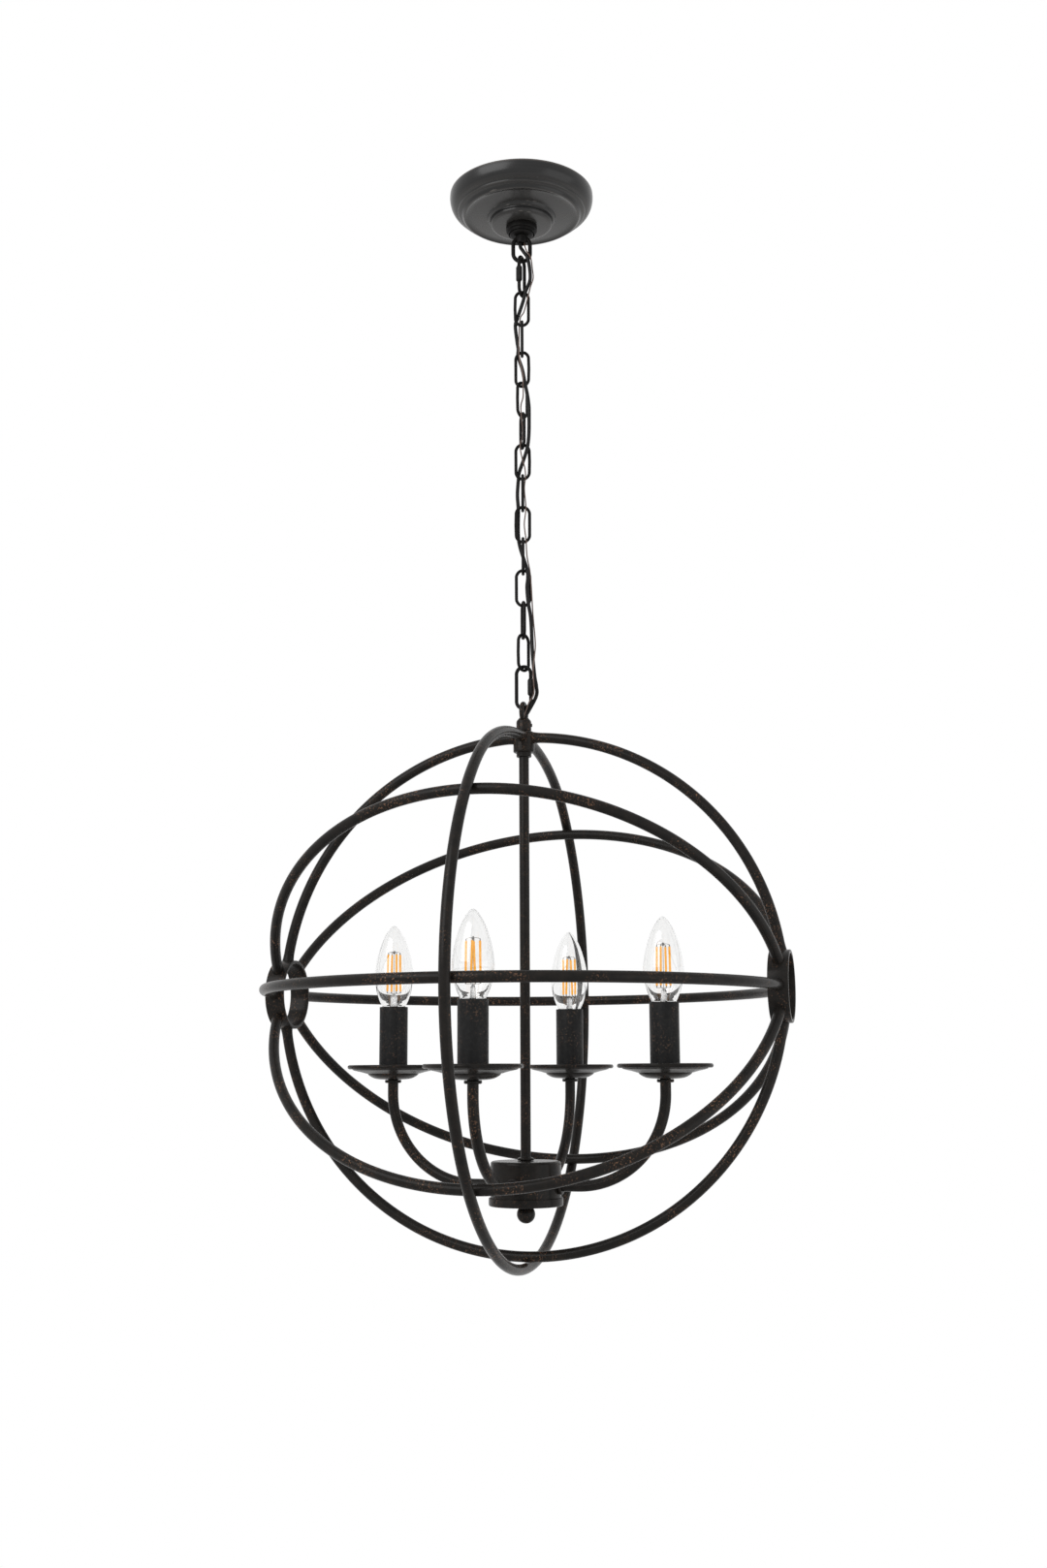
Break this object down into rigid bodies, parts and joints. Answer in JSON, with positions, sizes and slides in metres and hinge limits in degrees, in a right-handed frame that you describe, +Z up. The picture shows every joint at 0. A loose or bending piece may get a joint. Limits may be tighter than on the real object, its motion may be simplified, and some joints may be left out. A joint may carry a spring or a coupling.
{
  "type": "orb chandelier",
  "caption": "Ball-shaped cage of dark rods with candle lights on bent arms inside, hung by a chain and quick links from a stepped round ceiling canopy.",
  "frame": {"origin": "on the hanging axis in the ceiling plane, at the top face of the mounting strap", "axes": "+Z up; +X towards the right end collar, where the rods of the ball meet; +Y to the back"},
  "size_m": [0.464, 0.4804, 0.9915],
  "materials": {
    "rubbed_bronze": "satin near-black bronze with fine copper-brown rubbed flecks",
    "canopy_bronze": "satin dark grey-brown with slightly paler step edges",
    "black_metal": "satin black",
    "zinc_steel": "zinc plated",
    "sleeve_black": "matte black",
    "porcelain": "glazed",
    "bulb_glass": "clear blown glass",
    "cord_jacket": "smooth matte black",
    "ground_copper": "dull enamelled copper"
  },
  "bodies": {
    "ceiling_mount": {"mounting_strap": "zinc_steel", "canopy_loop": "black_metal", "supply_cord": "cord_jacket", "ground_wire": "ground_copper"},
    "canopy_cup": {"canopy": "canopy_bronze"},
    "collar_ring": {"canopy_collar": "black_metal"},
    "upper_quick": {"upper_quick_link": "black_metal"},
    "upper_nut": {"upper_link_nut": "black_metal"},
    "link_01": {"chain_link_01": "black_metal"},
    "link_02": {"chain_link_02": "black_metal"},
    "link_03": {"chain_link_03": "black_metal"},
    "link_04": {"chain_link_04": "black_metal"},
    "link_05": {"chain_link_05": "black_metal"},
    "link_06": {"chain_link_06": "black_metal"},
    "link_07": {"chain_link_07": "black_metal"},
    "link_08": {"chain_link_08": "black_metal"},
    "link_09": {"chain_link_09": "black_metal"},
    "link_10": {"chain_link_10": "black_metal"},
    "link_11": {"chain_link_11": "black_metal"},
    "link_12": {"chain_link_12": "black_metal"},
    "lower_quick": {"lower_quick_link": "black_metal"},
    "lower_nut": {"lower_link_nut": "black_metal"},
    "fixture": {"frame_loop": "rubbed_bronze", "top_hub": "rubbed_bronze", "cross_ring": "rubbed_bronze", "level_arc_back": "rubbed_bronze", "level_arc_front": "rubbed_bronze", "top_arc_right": "rubbed_bronze", "top_arc_left": "rubbed_bronze", "bottom_arc": "rubbed_bronze", "upper_arc_back": "rubbed_bronze", "upper_arc_front": "rubbed_bronze", "lower_arc_back": "rubbed_bronze", "lower_arc_front": "rubbed_bronze", "end_collar_right": "rubbed_bronze", "end_collar_left": "rubbed_bronze", "centre_tube": "rubbed_bronze", "body_cup": "rubbed_bronze", "body_cover": "rubbed_bronze", "ball_finial": "rubbed_bronze", "arm_left": "rubbed_bronze", "drip_pan_left": "rubbed_bronze", "candle_sleeve_left": "sleeve_black", "socket_left": "porcelain", "arm_front": "rubbed_bronze", "drip_pan_front": "rubbed_bronze", "candle_sleeve_front": "sleeve_black", "socket_front": "porcelain", "arm_right": "rubbed_bronze", "drip_pan_right": "rubbed_bronze", "candle_sleeve_right": "sleeve_black", "socket_right": "porcelain", "arm_back": "rubbed_bronze", "drip_pan_back": "rubbed_bronze", "candle_sleeve_back": "sleeve_black", "socket_back": "porcelain"},
    "lamp_left": {"bulb_left": "bulb_glass"},
    "lamp_front": {"bulb_front": "bulb_glass"},
    "lamp_right": {"bulb_right": "bulb_glass"},
    "lamp_back": {"bulb_back": "bulb_glass"}
  },
  "joints": [
    {"name": "canopy_drop", "type": "slide", "parent": "ceiling_mount", "child": "canopy_cup", "axis": [0, 0, -1], "range_m": [0, 0.022]},
    {"name": "collar_drop", "type": "slide", "parent": "canopy_cup", "child": "collar_ring", "axis": [0, 0, -1], "range_m": [0, 0.005]},
    {"name": "upper_quick_swing", "type": "hinge", "parent": "ceiling_mount", "child": "upper_quick", "pos_m": [0, 0, -0.0661], "axis": [0.9659, 0.2588, 0], "range_deg": [-25, 25], "deforming": ["supply_cord", "ground_wire"]},
    {"name": "link_01_swing", "type": "hinge", "parent": "upper_quick", "child": "link_01", "pos_m": [0, 0, -0.10065], "axis": [-0.1219, -0.9925, 0], "range_deg": [-25, 25]},
    {"name": "link_02_swing", "type": "hinge", "parent": "link_01", "child": "link_02", "pos_m": [0, 0, -0.1307], "axis": [-0.9659, -0.2588, 0], "range_deg": [-25, 25]},
    {"name": "link_03_swing", "type": "hinge", "parent": "link_02", "child": "link_03", "pos_m": [0, 0, -0.16095], "axis": [-0.2588, 0.9659, 0], "range_deg": [-25, 25]},
    {"name": "link_04_swing", "type": "hinge", "parent": "link_03", "child": "link_04", "pos_m": [0, 0, -0.1912], "axis": [1, 0, 0], "range_deg": [-25, 25]},
    {"name": "link_05_swing", "type": "hinge", "parent": "link_04", "child": "link_05", "pos_m": [0, 0, -0.22145], "axis": [-0.5, -0.866, 0], "range_deg": [-25, 25]},
    {"name": "link_06_swing", "type": "hinge", "parent": "link_05", "child": "link_06", "pos_m": [0, 0, -0.2517], "axis": [-0.5, 0.866, 0], "range_deg": [-25, 25]},
    {"name": "link_07_swing", "type": "hinge", "parent": "link_06", "child": "link_07", "pos_m": [0, 0, -0.28195], "axis": [0.9659, 0.2588, 0], "range_deg": [-25, 25]},
    {"name": "link_08_swing", "type": "hinge", "parent": "link_07", "child": "link_08", "pos_m": [0, 0, -0.3122], "axis": [0.2588, -0.9659, 0], "range_deg": [-25, 25]},
    {"name": "link_09_swing", "type": "hinge", "parent": "link_08", "child": "link_09", "pos_m": [0, 0, -0.34245], "axis": [-0.9659, -0.2588, 0], "range_deg": [-25, 25]},
    {"name": "link_10_swing", "type": "hinge", "parent": "link_09", "child": "link_10", "pos_m": [0, 0, -0.3727], "axis": [-0.2588, 0.9659, 0], "range_deg": [-25, 25]},
    {"name": "link_11_swing", "type": "hinge", "parent": "link_10", "child": "link_11", "pos_m": [0, 0, -0.40295], "axis": [0.9659, 0.2588, 0], "range_deg": [-25, 25]},
    {"name": "link_12_swing", "type": "hinge", "parent": "link_11", "child": "link_12", "pos_m": [0, 0, -0.4332], "axis": [-0.4226, 0.9063, 0], "range_deg": [-25, 25]},
    {"name": "lower_quick_swing", "type": "hinge", "parent": "link_12", "child": "lower_quick", "pos_m": [0, 0, -0.46345], "axis": [-0.5446, -0.8387, 0], "range_deg": [-25, 25]},
    {"name": "fixture_swing", "type": "hinge", "parent": "lower_quick", "child": "fixture", "pos_m": [0, 0, -0.49845], "axis": [0.9986, -0.0523, 0], "range_deg": [-25, 25]},
    {"name": "upper_nut_travel", "type": "slide", "parent": "upper_quick", "child": "upper_nut", "axis": [0, 0, 1], "range_m": [0, 0.0045]},
    {"name": "lower_nut_travel", "type": "slide", "parent": "lower_quick", "child": "lower_nut", "axis": [0, 0, 1], "range_m": [0, 0.0045]},
    {"name": "lamp_left_lift", "type": "slide", "parent": "fixture", "child": "lamp_left", "axis": [0, 0, 1], "range_m": [0, 0.03]},
    {"name": "lamp_front_lift", "type": "slide", "parent": "fixture", "child": "lamp_front", "axis": [0, 0, 1], "range_m": [0, 0.03]},
    {"name": "lamp_right_lift", "type": "slide", "parent": "fixture", "child": "lamp_right", "axis": [0, 0, 1], "range_m": [0, 0.03]},
    {"name": "lamp_back_lift", "type": "slide", "parent": "fixture", "child": "lamp_back", "axis": [0, 0, 1], "range_m": [0, 0.03]}
  ]
}
